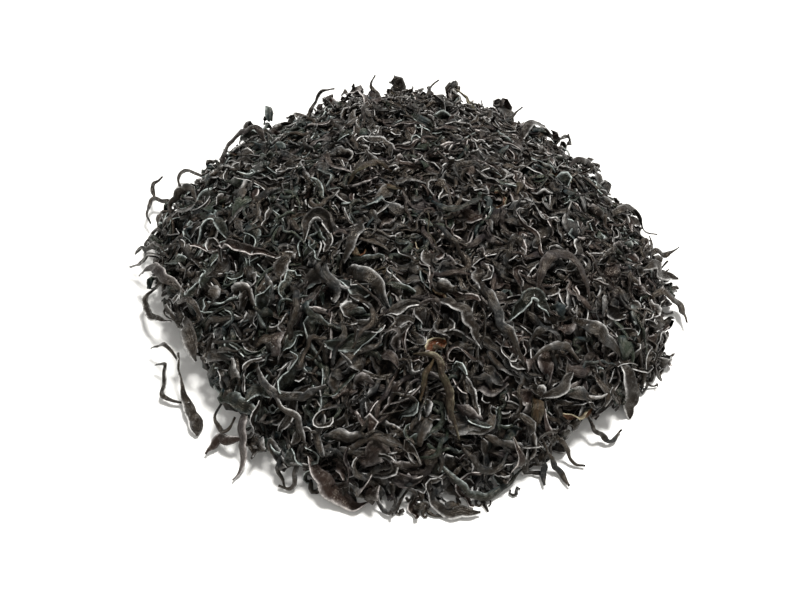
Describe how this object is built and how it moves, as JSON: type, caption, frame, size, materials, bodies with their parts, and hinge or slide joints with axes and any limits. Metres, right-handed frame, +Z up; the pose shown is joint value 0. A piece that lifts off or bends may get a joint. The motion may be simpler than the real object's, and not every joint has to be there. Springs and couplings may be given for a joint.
{
  "type": "heap of dried cut wakame",
  "caption": "Low round heap of shrivelled dried wakame seaweed shreds, with curled, forked and leaf-shaped shreds lying on it; it rests on its flat foot as a portion of dry food.",
  "frame": {"origin": "the middle of the heap's footprint, on the surface it rests on", "axes": "+Z up, out of the heap's crown; +X to the right and +Y away from the viewer of the picture"},
  "size_m": [0.2103, 0.207, 0.0464],
  "materials": {
    "wakame_charcoal": "dry, wrinkled, leathery, charcoal grey with a weak satin gloss",
    "wakame_green_black": "dry, wrinkled, leathery, green black with a weak satin gloss",
    "wakame_purple_brown": "dry, wrinkled, leathery, dark purple brown with a weak satin gloss",
    "wakame_midrib_tan": "dry, ridged, tan to olive brown midrib, dull"
  },
  "bodies": {
    "root": {"shred_heap": "wakame_charcoal", "leaf_tipped_hook": "wakame_charcoal", "left_drooping_leaf": "wakame_charcoal", "forked_leaf": "wakame_purple_brown", "left_ringlet": "wakame_charcoal", "front_loop": "wakame_charcoal", "front_rim_wing": "wakame_purple_brown", "front_foot_curl": "wakame_charcoal", "front_foot_leaf": "wakame_charcoal", "front_rim_strap": "wakame_green_black", "front_bent_strap": "wakame_charcoal", "front_thin_hook": "wakame_green_black", "right_foot_sprig": "wakame_charcoal", "right_foot_barb": "wakame_charcoal", "right_foot_curl": "wakame_charcoal", "brown_midrib_arch": "wakame_midrib_tan", "forked_midrib": "wakame_charcoal", "bright_hook": "wakame_green_black", "left_standing_shred": "wakame_charcoal", "looped_string": "wakame_charcoal", "tadpole_leaf": "wakame_charcoal", "standing_leaf": "wakame_charcoal", "folded_leaf": "wakame_charcoal", "cupped_leaf_end": "wakame_green_black", "bright_stub": "wakame_charcoal", "pointed_leaf": "wakame_charcoal", "right_tadpole": "wakame_charcoal", "oval_leaf": "wakame_charcoal", "broad_arch_leaf": "wakame_purple_brown", "crescent_shred": "wakame_green_black", "ring_leaf": "wakame_charcoal", "long_straight_shred": "wakame_charcoal", "olive_stem_piece": "wakame_midrib_tan", "middle_cup_leaf": "wakame_charcoal", "middle_pointed_leaf": "wakame_charcoal", "red_lined_roll": "wakame_purple_brown", "left_bright_leaf": "wakame_green_black", "left_arch_leaf": "wakame_charcoal", "left_hanging_strap": "wakame_charcoal", "left_purple_scrap": "wakame_purple_brown", "left_tines": "wakame_charcoal", "left_rim_ring": "wakame_charcoal", "left_rim_roll": "wakame_charcoal", "left_rim_antler": "wakame_charcoal", "left_rim_string": "wakame_charcoal", "back_left_arch": "wakame_purple_brown", "back_stray_curl": "wakame_charcoal", "back_hook_leaf": "wakame_purple_brown", "back_horn": "wakame_charcoal", "back_spike": "wakame_charcoal", "back_twigs": "wakame_midrib_tan", "back_pale_spike": "wakame_charcoal", "back_right_leaf": "wakame_charcoal", "right_rim_barb": "wakame_purple_brown", "right_rim_tail": "wakame_charcoal", "right_rim_point": "wakame_charcoal", "right_rim_fan": "wakame_charcoal", "right_rim_strap": "wakame_charcoal"}
  },
  "joints": []
}
